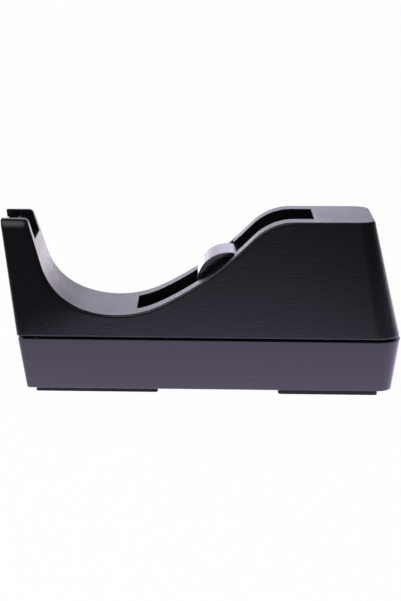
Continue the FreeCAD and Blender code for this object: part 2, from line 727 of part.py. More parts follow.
def make_base_housing():
    form = base_form(PAD_HEIGHT, BASE_TOP_Z, 0.0)
    foot_edges = edges_on(form, lambda p: abs(p.z - PAD_HEIGHT) < NEAR)
    form = form.makeFillet(BASE_FOOT_ROUND, foot_edges)
    housing = form.cut(base_form(FLOOR_Z, BASE_TOP_Z, BASE_WALL))

    tongue_foot = BASE_TOP_Z - TONGUE_ROOT
    tongue_top = BASE_TOP_Z + TONGUE_HEIGHT
    tongue = tongue_prism(0.0, tongue_foot, tongue_top)
    tongue = tongue.cut(tongue_prism(TONGUE_THICK, tongue_foot, tongue_top))
    tongue = tongue.cut(box(-CLEAR, BAY_FRONT_X + TONGUE_THICK, -CLEAR, CLEAR, 0, CLEAR))
    notch = SHELL_BOSS_RADIUS + BOSS_NOTCH_FIT
    for x in (SCREW_FRONT_X, SCREW_MIDDLE_X, SCREW_REAR_X):
        tongue = tongue.cut(box(x - notch, x + notch, -CLEAR, CLEAR, BASE_TOP_Z, CLEAR))

    bay_outer = BAY_HALF_WIDTH + BAY_WALL
    bay_rear = BAY_REAR_X + BAY_WALL
    bay = box(BAY_FRONT_X, bay_rear, -bay_outer, bay_outer, PAD_HEIGHT, DECK_FOOT_Z)
    bay = bay.cut(box(-CLEAR, BAY_REAR_X, -BAY_HALF_WIDTH, BAY_HALF_WIDTH, FLOOR_Z, CLEAR))
    additions = [tongue, bay]
    rib_top = FLOOR_Z + POCKET_RIB_HEIGHT
    for x in (BALLAST_FRONT_X - BALLAST_FIT - RIB, BALLAST_REAR_X + BALLAST_FIT):
        additions.append(box(x, x + RIB, -BALLAST_HALF_WIDTH, BALLAST_HALF_WIDTH, PAD_HEIGHT, rib_top))
    for x, y in screw_places():
        top = DECK_FOOT_Z if x < BAY_REAR_X else BASE_TOP_Z
        additions.append(post(x, y, PAD_HEIGHT, top, BASE_BOSS_RADIUS))
    housing = housing.fuse(additions)

    opening = OPENING_HALF_WIDTH
    cuts = [box(-CLEAR, BAY_FRONT_X, -opening, opening, FLOOR_Z, CLEAR)]
    for x, y in screw_places():
        cuts.append(post(x, y, PAD_HEIGHT, BASE_TOP_Z, SCREW_RADIUS + SHANK_CLEARANCE))
        cuts.append(post(x, y, PAD_HEIGHT, SCREW_SEAT_Z, SCREW_HEAD_RADIUS + HEAD_CLEARANCE))
    return housing.cut(cuts).removeSplitter()


def make_bay_deck():
    half = OPENING_HALF_WIDTH - DECK_FIT
    rear = BAY_REAR_X + BAY_WALL
    plate = across(polygon([
        (base_front_x(BASE_TOP_Z), BASE_TOP_Z),
        (base_front_x(DECK_FOOT_Z), DECK_FOOT_Z),
        (rear, DECK_FOOT_Z),
        (rear, BASE_TOP_Z),
    ]), half)
    lip_x = shell_front_x(SHELL_FOOT_Z) + SHELL_WALL / cos(FRONT_LEAN) + TONGUE_FIT
    lip_half = TONGUE_LIP_HALF_WIDTH
    lip = box(lip_x, lip_x + TONGUE_THICK, -lip_half, lip_half, BASE_TOP_Z, BASE_TOP_Z + TONGUE_HEIGHT)
    stop_half = BAY_HALF_WIDTH - DECK_FIT
    stop = box(STOP_X - STOP_THICK, STOP_X, -stop_half, stop_half, DECK_FOOT_Z - STOP_DEPTH, DECK_FOOT_Z)
    deck = fuse(plate, lip, stop)
    hole = SCREW_RADIUS + SHANK_CLEARANCE
    for x, y in screw_places():
        if x < rear:
            y0, y1 = sorted((y, math.copysign(CLEAR, y)))
            deck = deck.cut(post(x, y, 0, CLEAR, hole))
            deck = deck.cut(box(x - hole, x + hole, y0, y1, 0, CLEAR))
    return deck


def drawer_rear_x():
    return BAY_REAR_X - DRAWER_FIT


def drawer_travel():
    """Slide of the drawer until its lug meets the stop bar."""
    return drawer_rear_x() - DRAWER_WALL - STOP_X - STOP_SLACK


def slanted_block(x_shift, rear, half, z0, z1):
    """Block behind the drawer face's slope, shifted back by x_shift."""
    return across(polygon([
        (base_front_x(z0) + x_shift, z0),
        (base_front_x(z1) + x_shift, z1),
        (rear, z1),
        (rear, z0),
    ]), half)


def make_drawer_tray():
    foot = FLOOR_Z + DRAWER_FIT
    side_top = DECK_FOOT_Z - DRAWER_SIDE_DROP
    face_top = DECK_FOOT_Z - LUG_GAP
    half = BAY_HALF_WIDTH - DRAWER_FIT
    rear = drawer_rear_x()
    slant = DRAWER_FACE_THICK / cos(BASE_FRONT_DRAFT)
    body = slanted_block(slant / 2, rear, half, foot, side_top)
    pocket = slanted_block(slant, rear - DRAWER_WALL, half - DRAWER_WALL, foot + DRAWER_WALL, side_top)
    face = across(polygon([
        (base_front_x(foot), foot),
        (base_front_x(face_top), face_top),
        (base_front_x(face_top) + slant, face_top),
        (base_front_x(foot) + slant, foot),
    ]), DRAWER_FACE_HALF_WIDTH)
    lug = box(rear - DRAWER_WALL, rear, -LUG_HALF_WIDTH, LUG_HALF_WIDTH, foot, face_top)
    tray = fuse(body.cut(pocket), face, lug)
    notch = Part.makeCylinder(FINGER_RADIUS, 2 * CLEAR, Vec(-2 * CLEAR - FINGER_REACH, 0,
                              face_top + FINGER_DROP), Vec(1, 0, 0))
    return tray.cut(notch)


def make_ballast_block():
    half = BALLAST_HALF_WIDTH
    block = box(BALLAST_FRONT_X, BALLAST_REAR_X, -half, half, FLOOR_Z, BALLAST_TOP_Z)
    uprights = edges_on(block, lambda p: FLOOR_Z + NEAR < p.z < BALLAST_TOP_Z - NEAR)
    return block.makeFillet(BALLAST_EDGE, uprights)


def make_case_screws():
    screws = []
    for x, y in screw_places():
        head = post(x, y, SCREW_SEAT_Z - SCREW_HEAD_HEIGHT, SCREW_SEAT_Z, SCREW_HEAD_RADIUS)
        shank = post(x, y, SCREW_SEAT_Z, BASE_TOP_Z + SCREW_REACH, SCREW_RADIUS)
        screws.append(fuse(head, shank))
    return Part.makeCompound(screws)


def make_pad(front, rear, half_width):
    pad = box(front, rear, -half_width, half_width, 0, PAD_HEIGHT)
    uprights = edges_on(pad, lambda p: NEAR < p.z < PAD_HEIGHT - NEAR)
    return pad.makeFillet(PAD_CORNER, uprights)


def make_parts():
    return {
        "upper_shell": make_upper_shell(),
        "blade_holder": make_blade_holder(),
        "cutter_blade": make_cutter_blade(),
        "holder_screws": make_holder_screws(),
        "hub_barrel": make_hub_barrel(),
        "hub_cap": make_hub_cap(),
        "base_housing": make_base_housing(),
        "bay_deck": make_bay_deck(),
        "drawer_tray": make_drawer_tray(),
        "ballast_block": make_ballast_block(),
        "case_screws": make_case_screws(),
        "front_pad": make_pad(FRONT_PAD_START_X, FRONT_PAD_END_X, FRONT_PAD_HALF_WIDTH),
        "rear_pad": make_pad(REAR_PAD_START_X, REAR_PAD_END_X, REAR_PAD_HALF_WIDTH),
    }


def main():
    os.makedirs("parts", exist_ok=True)
    for name, shape in make_parts().items():
        shape.exportStep("parts/" + name + ".step")
        size = shape.BoundBox
        print(name, "valid" if shape.isValid() else "INVALID", len(shape.Solids), "solids",
              round(shape.Volume), "mm3", round(size.XMin, 2), round(size.XMax, 2),
              round(size.YMin, 2), round(size.YMax, 2), round(size.ZMin, 2), round(size.ZMax, 2))
    print("drawer travel", round(drawer_travel(), 2))


main()
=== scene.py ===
import math

import bpy
from bpy.props import FloatProperty, FloatVectorProperty, IntProperty, PointerProperty
from mathutils import Matrix, Vector


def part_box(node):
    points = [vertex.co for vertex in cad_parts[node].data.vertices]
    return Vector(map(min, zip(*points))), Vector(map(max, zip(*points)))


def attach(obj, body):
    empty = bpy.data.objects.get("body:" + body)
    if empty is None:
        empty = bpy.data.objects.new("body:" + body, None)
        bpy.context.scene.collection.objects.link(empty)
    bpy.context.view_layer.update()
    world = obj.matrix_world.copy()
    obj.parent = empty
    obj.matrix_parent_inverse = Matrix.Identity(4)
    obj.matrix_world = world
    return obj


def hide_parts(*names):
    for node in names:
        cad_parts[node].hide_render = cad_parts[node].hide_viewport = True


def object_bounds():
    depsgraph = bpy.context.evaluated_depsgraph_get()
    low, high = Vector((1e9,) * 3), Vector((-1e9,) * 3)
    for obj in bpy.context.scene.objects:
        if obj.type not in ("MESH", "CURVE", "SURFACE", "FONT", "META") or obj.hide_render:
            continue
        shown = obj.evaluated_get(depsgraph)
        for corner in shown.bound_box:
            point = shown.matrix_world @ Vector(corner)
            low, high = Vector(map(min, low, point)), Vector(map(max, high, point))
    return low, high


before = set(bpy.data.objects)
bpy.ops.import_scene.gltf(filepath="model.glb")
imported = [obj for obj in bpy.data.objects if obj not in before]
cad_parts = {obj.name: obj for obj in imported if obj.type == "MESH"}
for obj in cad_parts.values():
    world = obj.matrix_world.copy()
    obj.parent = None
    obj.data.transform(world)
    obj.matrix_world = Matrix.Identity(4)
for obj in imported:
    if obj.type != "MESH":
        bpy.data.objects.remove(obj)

bl_info = {
    "name": "Desk tape dispenser",
    "version": (1, 0, 0),
    "blender": (4, 5, 0),
    "location": "View3D > Sidebar > Dispenser",
    "description": "Finishes and small pieces of a desk tape dispenser with a drawer",
    "category": "Add Mesh",
}

CAD_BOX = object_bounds()
WHOLE_LOW = Vector(CAD_BOX[0])
MM = 0.001


# ---------------------------------------------------------------- settings
class DispenserStageSettings(bpy.types.PropertyGroup):
    """Camera, floor and light"""

    lens: FloatProperty(
        name="Lens", description="Focal length of the camera in millimetres",
        default=107.82, min=10.0)
    distance: FloatProperty(
        name="Distance", description="Camera to the point it looks at",
        default=0.7368, unit="LENGTH")
    elevation: FloatProperty(
        name="Elevation", description="How far the camera looks down",
        default=math.radians(12.692), subtype="ANGLE")
    roll: FloatProperty(
        name="Roll", description="Turn of the camera about its own view axis",
        default=math.radians(0.68), subtype="ANGLE")
    target: FloatVectorProperty(
        name="Target", description="Point in the middle of the picture",
        default=(-0.00083, 0.0, 0.03389), subtype="TRANSLATION")
    floor_size: FloatProperty(
        name="Floor", description="Side of the square floor",
        default=12.0, unit="LENGTH")
    floor_shade: FloatProperty(
        name="Floor shade", description="How much of the floor's look comes from its lighting",
        default=0.02, min=0.0, max=1.0, subtype="FACTOR")
    room_light: FloatProperty(
        name="Room light", description="Strength of the light from all round",
        default=0.5, min=0.0)
    backdrop_colour: FloatVectorProperty(
        name="Backdrop colour", description="Colour that gloss shows of the lit backdrop",
        default=(0.87, 0.81, 1.0), subtype="COLOR", min=0.0, max=1.0)
    backdrop_glow: FloatProperty(
        name="Backdrop glow", description="Brightness that gloss shows of the backdrop",
        default=1.0, min=0.0)
    table_colour: FloatVectorProperty(
        name="Table colour", description="Colour that gloss shows of the table in front",
        default=(0.80, 0.70, 1.0), subtype="COLOR", min=0.0, max=1.0)
    table_glow: FloatProperty(
        name="Table glow", description="Brightness that gloss shows of the table beside the part",
        default=2.6, min=0.0)
    table_reach: FloatProperty(
        name="Table reach", description="The table's glow falls to a third over this distance",
        default=0.19, unit="LENGTH")
    table_haze: FloatProperty(
        name="Table haze", description="Brightness that gloss shows of the table far in front",
        default=0.02, min=0.0)
    far_table_colour: FloatVectorProperty(
        name="Far table colour", description="Colour that gloss shows of the table behind",
        default=(0.95, 0.89, 1.0), subtype="COLOR", min=0.0, max=1.0)
    far_table_lift: FloatProperty(
        name="Far table lift",
        description="How much brighter than the backdrop gloss shows the table behind",
        default=1.2, min=0.0)
    far_table_reach: FloatProperty(
        name="Far table reach", description="That lift falls to a third over this distance",
        default=3.0, unit="LENGTH")
    room_gloom: FloatProperty(
        name="Room gloom", description="Brightness that gloss shows of the unlit room",
        default=0.06, min=0.0)
    key_power: FloatProperty(
        name="Key power", description="Power of the overhead softbox",
        default=4.5, min=0.0, unit="POWER")
    key_place: FloatVectorProperty(
        name="Key place", description="Middle of the overhead softbox",
        default=(-0.42, -0.22, 0.85), subtype="TRANSLATION")
    key_size: FloatProperty(
        name="Key size", description="Side of the overhead softbox",
        default=0.9, unit="LENGTH")


class DispenserFinishSettings(bpy.types.PropertyGroup):
    """Colours and surfaces of the pieces"""

    shell_colour: FloatVectorProperty(
        name="Shell colour", description="Satin black of the upper shell",
        default=(0.0050, 0.0045, 0.0060), subtype="COLOR", min=0.0, max=1.0)
    shell_roughness: FloatProperty(
        name="Shell roughness", description="Roughness of the satin shell",
        default=0.22, min=0.0, max=1.0, subtype="FACTOR")
    shell_grain: FloatProperty(
        name="Shell grain", description="Height of the satin shell's moulded grain",
        default=0.04 * MM, unit="LENGTH")
    shell_dust: FloatProperty(
        name="Shell dust", description="Settled dust on the shell",
        default=0.5, min=0.0, max=1.0, subtype="FACTOR")
    # Lighter handled edges on the shell: partly wear, partly a painted highlight along the edges
    shell_wear_and_sheen: FloatProperty(
        name="Shell wear", description="How many times lighter the shell's handled edges are",
        default=3.0, min=1.0)
    base_colour: FloatVectorProperty(
        name="Lower colour", description="Smooth black of the lower housing",
        default=(0.0310, 0.0268, 0.0370), subtype="COLOR", min=0.0, max=1.0)
    base_roughness: FloatProperty(
        name="Lower roughness", description="Roughness of the lower housing",
        default=0.20, min=0.0, max=1.0, subtype="FACTOR")
    base_dust: FloatProperty(
        name="Lower dust", description="Settled dust on the lower housing",
        default=0.3, min=0.0, max=1.0, subtype="FACTOR")
    smooth_grain: FloatProperty(
        name="Smooth grain", description="Height of the grain on the lower housing and the hub",
        default=0.006 * MM, unit="LENGTH")
    hub_colour: FloatVectorProperty(
        name="Hub colour", description="Polished black of the roller hub",
        default=(0.014, 0.013, 0.017), subtype="COLOR", min=0.0, max=1.0)
    hub_roughness: FloatProperty(
        name="Hub roughness", description="Roughness of the roller hub",
        default=0.16, min=0.0, max=1.0, subtype="FACTOR")
    hub_coat: FloatProperty(
        name="Hub coat", description="Strength of the roller hub's polish",
        default=0.6, min=0.0, max=1.0, subtype="FACTOR")
    inner_colour: FloatVectorProperty(
        name="Inner colour", description="Matt black of the inner mouldings",
        default=(0.018, 0.017, 0.02), subtype="COLOR", min=0.0, max=1.0)
    inner_roughness: FloatProperty(
        name="Inner roughness", description="Roughness of the inner mouldings",
        default=0.55, min=0.0, max=1.0, subtype="FACTOR")
    inner_grain: FloatProperty(
        name="Inner grain", description="Height of the inner mouldings' grain",
        default=0.03 * MM, unit="LENGTH")
    steel_colour: FloatVectorProperty(
        name="Steel colour", description="Rolled strip of the cutter blade",
        default=(0.60, 0.60, 0.63), subtype="COLOR", min=0.0, max=1.0)
    steel_roughness: FloatProperty(
        name="Steel roughness", description="Roughness of the cutter blade",
        default=0.28, min=0.0, max=1.0, subtype="FACTOR")
    screw_colour: FloatVectorProperty(
        name="Screw colour", description="Zinc plate of the screws",
        default=(0.52, 0.52, 0.50), subtype="COLOR", min=0.0, max=1.0)
    screw_roughness: FloatProperty(
        name="Screw roughness", description="Roughness of the screws",
        default=0.34, min=0.0, max=1.0, subtype="FACTOR")
    iron_colour: FloatVectorProperty(
        name="Iron colour", description="Cast iron of the ballast",
        default=(0.085, 0.08, 0.076), subtype="COLOR", min=0.0, max=1.0)
    rubber_colour: FloatVectorProperty(
        name="Rubber colour", description="Non-slip pads",
        default=(0.017, 0.016, 0.018), subtype="COLOR", min=0.0, max=1.0)
    grain_scale: FloatProperty(
        name="Grain scale", description="Grains of the moulded surface in each metre",
        default=4200.0, min=1.0)
    # Above this height the lower housing gets painted shade, black and dull, in the shadow gap
    gap_height: FloatProperty(
        name="Gap height", description="Foot of the shadow gap between the two mouldings",
        default=22.12 * MM, unit="LENGTH")
    edge_width: FloatProperty(
        name="Edge width", description="Width of the handled band along the edges",
        default=0.6 * MM, unit="LENGTH")
    edge_round: FloatProperty(
        name="Edge round", description="Radius that breaks the sharp moulded edges",
        default=0.3 * MM, unit="LENGTH")


class DispenserScrewSettings(bpy.types.PropertyGroup):
    """Sizes of the two sets of screws"""

    case_head: FloatProperty(
        name="Case head", description="Radius of the case screws' heads",
        default=2.1 * MM, unit="LENGTH")
    case_head_height: FloatProperty(
        name="Case head height", description="Height of the case screws' heads",
        default=1.4 * MM, unit="LENGTH")
    case_shank: FloatProperty(
        name="Case shank", description="Radius of the case screws' shanks",
        default=1.1 * MM, unit="LENGTH")
    case_middle_row: FloatProperty(
        name="Middle row", description="Place along the part of the middle pair of case screws",
        default=-14.0 * MM, unit="LENGTH")
    holder_head: FloatProperty(
        name="Holder head", description="Radius of the holder screws' heads",
        default=1.7 * MM, unit="LENGTH")
    holder_head_height: FloatProperty(
        name="Holder head height", description="Height of the holder screws' heads",
        default=1.2 * MM, unit="LENGTH")
    holder_shank: FloatProperty(
        name="Holder shank", description="Radius of the holder screws' shanks",
        default=1.0 * MM, unit="LENGTH")
    head_dome: FloatProperty(
        name="Head dome", description="Rise of the screw head's crown",
        default=0.4 * MM, unit="LENGTH")
    recess_depth: FloatProperty(
        name="Recess depth", description="Depth of the cross recess",
        default=0.9 * MM, unit="LENGTH")
    recess_reach: FloatProperty(
        name="Recess reach", description="Half length of the cross recess",
        default=1.15 * MM, unit="LENGTH")
    recess_width: FloatProperty(
        name="Recess width", description="Width of each arm of the recess",
        default=0.48 * MM, unit="LENGTH")
    thread_pitch: FloatProperty(
        name="Thread pitch", description="Rise of the thread in one turn",
        default=0.8 * MM, unit="LENGTH")
    thread_depth: FloatProperty(
        name="Thread depth", description="Height of the thread above its root",
        default=0.22 * MM, unit="LENGTH")
    facets: IntProperty(
        name="Facets", description="Facets round a screw", default=24, min=8)


# ---------------------------------------------------------------- surface patterns
# A scale counts a pattern's marks in each metre. A pair is where a change starts and ends.
NOISE_MIDDLE = (0.3, 0.7)      # most of a noise lies between these

FLOW_MARKS = 38.0              # scale of the moulded plastic's broad waves
COARSE_SCALE = 0.36            # the grain's larger lumps, in scales of the fine grain
COARSE_HEIGHT = 2.4            # and in heights of it
GLOSS_PATCHES = 21.0           # scale of the patches that handling leaves
PATCH_GLOSS = 0.03             # what a patch adds to the roughness or takes from it
PATCH_SHADES = (0.9, 1.1)      # and how much darker or lighter it is

EDGE_BEND = (0.995, 0.90)      # cosine between the face's normal and the rounded one
EDGE_POLISH = 0.06             # taken from the roughness of handled edges
WEAR_SPOTS = 260.0             # scale of the spots that break up the handled edges
SPOT_EDGE = (0.38, 0.62)
BEVEL_SAMPLES = 4

DUST_SPECKS = 620.0            # scale of single specks
SPECK_EDGE = (0.10, 0.04)      # distance from a speck's middle, in spaces between specks
DUST_DRIFTS = 45.0             # scale of the areas where they gather
DRIFT_EDGE = (0.52, 0.72)
DUSTY_SLOPE = (0.25, 0.95)     # how far a face looks up, as the Z of its normal
DUST_COLOUR = (0.30, 0.29, 0.30)

PAINTED_SHADE_BLEND = 0.15 * MM       # height over which the painted shade of a shadow gap turns black
RECESS_SHINE = 0.5             # the shader's usual reflection, which the painted shade ends in the gap

STRIP_LINES = (9000.0, 120.0, 9000.0)   # the blade is rolled along Y
PLATE_GRAIN = (2600.0, 2600.0, 2600.0)
RUST_COLOUR = (0.10, 0.055, 0.035)
HUB_IOR = 1.55
COAT_ROUGHNESS = 0.06
WHITE, BLACK = (1.0, 1.0, 1.0), (0.0, 0.0, 0.0)

# Places of the Mix node's two inputs and its result, for each kind of value
MIX_SOCKETS = {"FLOAT": (2, 3, 0), "RGBA": (6, 7, 2)}


# ---------------------------------------------------------------- node helpers
def new_group(name, inputs, outputs):
    """Empty shader node group with named sockets; returns the group and its two end nodes."""
    group = bpy.data.node_groups.new(name, "ShaderNodeTree")
    for label, kind, value in inputs:
        socket = group.interface.new_socket(label, in_out="INPUT", socket_type=kind)
        socket.default_value = value
    for label, kind in outputs:
        group.interface.new_socket(label, in_out="OUTPUT", socket_type=kind)
    return group, group.nodes.new("NodeGroupInput"), group.nodes.new("NodeGroupOutput")


def feed(tree, socket, value):
    """Link another node's result to the socket, or set it to a plain number or colour."""
    if isinstance(value, bpy.types.NodeSocket):
        tree.links.new(value, socket)
    elif socket.type == "RGBA":
        socket.default_value = (*value, 1.0)
    else:
        socket.default_value = value


def maths(tree, operation, first, second=None, clamp=False):
    """Math node with each side given as a socket or a number; returns its result."""
    node = tree.nodes.new("ShaderNodeMath")
    node.operation = operation
    node.use_clamp = clamp
    feed(tree, node.inputs[0], first)
    if second is not None:
        feed(tree, node.inputs[1], second)
    return node.outputs[0]


def product(tree, first, *others):
    """Product of any number of sockets and numbers."""
    for other in others:
        first = maths(tree, "MULTIPLY", first, other)
    return first


def total(tree, first, *others):
    """Sum of any number of sockets and numbers."""
    for other in others:
        first = maths(tree, "ADD", first, other)
    return first


def ramp(tree, value, start, end, before=0.0, after=1.0):
    """Change smoothly from before to after while the value goes from start to end."""
    node = tree.nodes.new("ShaderNodeMapRange")
    node.interpolation_type = "SMOOTHSTEP"
    for label, amount in (("From Min", start), ("From Max", end),
                          ("To Min", before), ("To Max", after)):
        node.inputs[label].default_value = amount
    tree.links.new(value, node.inputs["Value"])
    return node.outputs["Result"]


def noise(tree, vector, scale, detail=2.0, roughness=0.5):
    node = tree.nodes.new("ShaderNodeTexNoise")
    tree.links.new(vector, node.inputs["Vector"])
    feed(tree, node.inputs["Scale"], scale)
    node.inputs["Detail"].default_value = detail
    node.inputs["Roughness"].default_value = roughness
    return node.outputs["Fac"]


def object_place(tree):
    return tree.nodes.new("ShaderNodeTexCoord").outputs["Object"]


def axes(tree, vector):
    """The three parts of a vector, by the names X, Y and Z."""
    node = tree.nodes.new("ShaderNodeSeparateXYZ")
    tree.links.new(vector, node.inputs[0])
    return node.outputs


def surface_normal(tree):
    return tree.nodes.new("ShaderNodeNewGeometry").outputs["Normal"]


def rounded_normal(tree, radius):
    """Normal of the surface with its edges rounded over by this radius."""
    node = tree.nodes.new("ShaderNodeBevel")
    node.samples = BEVEL_SAMPLES
    feed(tree, node.inputs["Radius"], radius)
    return node.outputs["Normal"]


def make_grain_group():
    """Fine spark-eroded grain of a moulded face: a height to feed a Bump node."""
    group, start, end = new_group(
        "Moulded grain",
        [("Scale", "NodeSocketFloat", 4000.0), ("Flow", "NodeSocketFloat", 0.15)],
        [("Height", "NodeSocketFloat"), ("Patch", "NodeSocketFloat")])
    place = object_place(group)
    scale = start.outputs["Scale"]
    fine = noise(group, place, scale=scale, roughness=0.55)
    flow = noise(group, place, scale=FLOW_MARKS)
    coarse = noise(group, place, scale=product(group, scale, COARSE_SCALE), roughness=0.6)
    height = total(group, fine, product(group, flow, start.outputs["Flow"]),
                   product(group, coarse, COARSE_HEIGHT))
    patch = noise(group, place, scale=GLOSS_PATCHES, detail=4.0, roughness=0.6)
    group.links.new(height, end.inputs["Height"])
    group.links.new(patch, end.inputs["Patch"])
    return group


def make_edge_group():
    """Mask that is 1 along edges and 0 on open faces, and a normal that rounds the edges over."""
    group, start, end = new_group(
        "Handled edges",
        [("Width", "NodeSocketFloat", 0.0006), ("Round", "NodeSocketFloat", 0.0003),
         ("Break-up", "NodeSocketFloat", 0.6)],
        [("Mask", "NodeSocketFloat"), ("Rounded", "NodeSocketVector")])
    likeness = group.nodes.new("ShaderNodeVectorMath")
    likeness.operation = "DOT_PRODUCT"
    group.links.new(rounded_normal(group, start.outputs["Width"]), likeness.inputs[0])
    group.links.new(surface_normal(group), likeness.inputs[1])
    bend = ramp(group, likeness.outputs["Value"], *EDGE_BEND)
    spots = noise(group, object_place(group), scale=WEAR_SPOTS, detail=3.0, roughness=0.6)
    spots = ramp(group, spots, *SPOT_EDGE)
    kept = maths(group, "SUBTRACT", 1.0, start.outputs["Break-up"])
    spots = total(group, kept, product(group, spots, start.outputs["Break-up"]))
    group.links.new(maths(group, "MULTIPLY", bend, spots, clamp=True), end.inputs["Mask"])
    group.links.new(rounded_normal(group, start.outputs["Round"]), end.inputs["Rounded"])
    return group


def make_dust_group():
    """Sparse fine specks that lie on faces that look upwards."""
    group, start, end = new_group(
        "Settled dust",
        [("Amount", "NodeSocketFloat", 0.5)],
        [("Mask", "NodeSocketFloat")])
    specks = group.nodes.new("ShaderNodeTexVoronoi")
    specks.feature = "F1"
    specks.inputs["Scale"].default_value = DUST_SPECKS
    group.links.new(object_place(group), specks.inputs["Vector"])
    dots = ramp(group, specks.outputs["Distance"], *SPECK_EDGE)
    drifts = ramp(group, noise(group, object_place(group), scale=DUST_DRIFTS), *DRIFT_EDGE)
    upward = ramp(group, axes(group, surface_normal(group))["Z"], *DUSTY_SLOPE)
    mask = product(group, dots, drifts, upward)
    mask = maths(group, "MULTIPLY", mask, start.outputs["Amount"], clamp=True)
    group.links.new(mask, end.inputs["Mask"])
    return group


def effect(tree, name, **values):
    """Place one of the shared node groups in a material; returns its outputs."""
    node = tree.nodes.new("ShaderNodeGroup")
    node.node_tree = bpy.data.node_groups[name]
    for label, value in values.items():
        node.inputs[label].default_value = value
    return node.outputs


def blend(tree, mask, first, second, kind="RGBA"):
    """The first where the mask is 0 and the second where it is 1, as colours or FLOAT numbers."""
    node = tree.nodes.new("ShaderNodeMix")
    node.data_type = kind
    feed(tree, node.inputs["Factor"], mask)
    first_input, second_input, result = MIX_SOCKETS[kind]
    feed(tree, node.inputs[first_input], first)
    feed(tree, node.inputs[second_input], second)
    return node.outputs[result]


def bump(tree, height, distance, normal=None):
    """Normal that a height in shares of the distance bends."""
    node = tree.nodes.new("ShaderNodeBump")
    node.inputs["Distance"].default_value = distance
    tree.links.new(height, node.inputs["Height"])
    if normal is not None:
        tree.links.new(normal, node.inputs["Normal"])
    return node.outputs["Normal"]


def new_material(name, metallic=0.0, ior=1.5, coat=0.0):
    material = bpy.data.materials.new(name)
    material.use_nodes = True
    inputs = material.node_tree.nodes["Principled BSDF"].inputs
    inputs["Metallic"].default_value = metallic
    inputs["IOR"].default_value = ior
    inputs["Coat Weight"].default_value = coat
    inputs["Coat Roughness"].default_value = COAT_ROUGHNESS
    return material, material.node_tree


def finish_with(tree, colour, roughness, normal):
    """Link the three sockets that each finish varies over the surface."""
    inputs = tree.nodes["Principled BSDF"].inputs
    tree.links.new(colour, inputs["Base Color"])
    tree.links.new(roughness, inputs["Roughness"])
    tree.links.new(normal, inputs["Normal"])


def shade(colour, factor):
    """The colour, darker or lighter by a factor."""
    return tuple(min(1.0, channel * factor) for channel in colour)


def varied(tree, mask, colour, darkest, lightest):
    """The colour between two of its shades, by the mask."""
    return blend(tree, mask, shade(colour, darkest), shade(colour, lightest))


def paint_gap_shade(tree, colour, foot):
    """Paint shade into the colour above the foot of a shadow gap: black there, and the surface dull.
    """
    painted_gap_shade = ramp(tree, axes(tree, object_place(tree))["Z"], foot, foot + PAINTED_SHADE_BLEND)
    shine = product(tree, maths(tree, "SUBTRACT", 1.0, painted_gap_shade), RECESS_SHINE)
    tree.links.new(shine, tree.nodes["Principled BSDF"].inputs["Specular IOR Level"])
    return blend(tree, painted_gap_shade, colour, BLACK)


def moulded_plastic(name, colour, roughness, grain_depth, dust=0.0, wear=1.7, ior=1.5, coat=0.0,
                    recess=None):
    """Dark moulded plastic: grain, soft patches of gloss, lighter handled edges (wear, and on the
    shell also a painted highlight) and a little dust.

    Above the height of recess, where it stands in a shadow gap, it gets painted shade: black and dull.
    """
    finish = bpy.context.scene.dispenser_finish
    material, tree = new_material(name, ior=ior, coat=coat)
    grain = effect(tree, "Moulded grain", Scale=finish.grain_scale)
    edges = effect(tree, "Handled edges", Width=finish.edge_width, Round=finish.edge_round)
    skin = varied(tree, grain["Patch"], colour, *PATCH_SHADES)
    # edges lighter by the wear factor: wear, and at the shell's 3 times also a painted highlight
    skin = blend(tree, edges["Mask"], skin, shade(colour, wear))
    if dust:
        specks = effect(tree, "Settled dust", Amount=dust)
        skin = blend(tree, specks["Mask"], skin, DUST_COLOUR)
    # painted shade: black and dull above the recess height, in the shadow gap
    if recess is not None:
        skin = paint_gap_shade(tree, skin, recess)
    gloss = ramp(tree, grain["Patch"], *NOISE_MIDDLE, roughness - PATCH_GLOSS, roughness + PATCH_GLOSS)
    gloss = total(tree, gloss, product(tree, edges["Mask"], -EDGE_POLISH))
    finish_with(tree, skin, gloss, bump(tree, grain["Height"], grain_depth, edges["Rounded"]))
    return material


def rolled_steel(name, colour, roughness, lines_each_way):
    """Bright metal with rolling lines, as many in a metre as each axis says, and faint stains."""
    material, tree = new_material(name, metallic=1.0)
    mapping = tree.nodes.new("ShaderNodeMapping")
    mapping.inputs["Scale"].default_value = lines_each_way
    tree.links.new(object_place(tree), mapping.inputs["Vector"])
    lines = noise(tree, mapping.outputs["Vector"], scale=1.0, detail=4.0, roughness=0.7)
    stains = noise(tree, object_place(tree), scale=420.0, detail=3.0)
    skin = varied(tree, stains, colour, darkest=0.82, lightest=1.12)
    gloss = ramp(tree, lines, *NOISE_MIDDLE, before=roughness - 0.07, after=roughness + 0.09)
    finish_with(tree, skin, gloss, bump(tree, lines, distance=0.01 * MM))
    return material


def cast_metal(name, colour):
    """Lumpy cast iron with a bloom of rust."""
    material, tree = new_material(name, metallic=0.75)
    place = object_place(tree)
    lumps = noise(tree, place, scale=900.0, detail=5.0, roughness=0.65)
    rust = noise(tree, place, scale=130.0, detail=4.0, roughness=0.6)
    rust = ramp(tree, rust, start=0.55, end=0.75, after=0.5)
    skin = varied(tree, lumps, colour, darkest=0.75, lightest=1.25)
    skin = blend(tree, rust, skin, RUST_COLOUR)
    gloss = ramp(tree, lumps, *NOISE_MIDDLE, before=0.52, after=0.72)
    finish_with(tree, skin, gloss, bump(tree, lumps, distance=0.12 * MM))
    return material


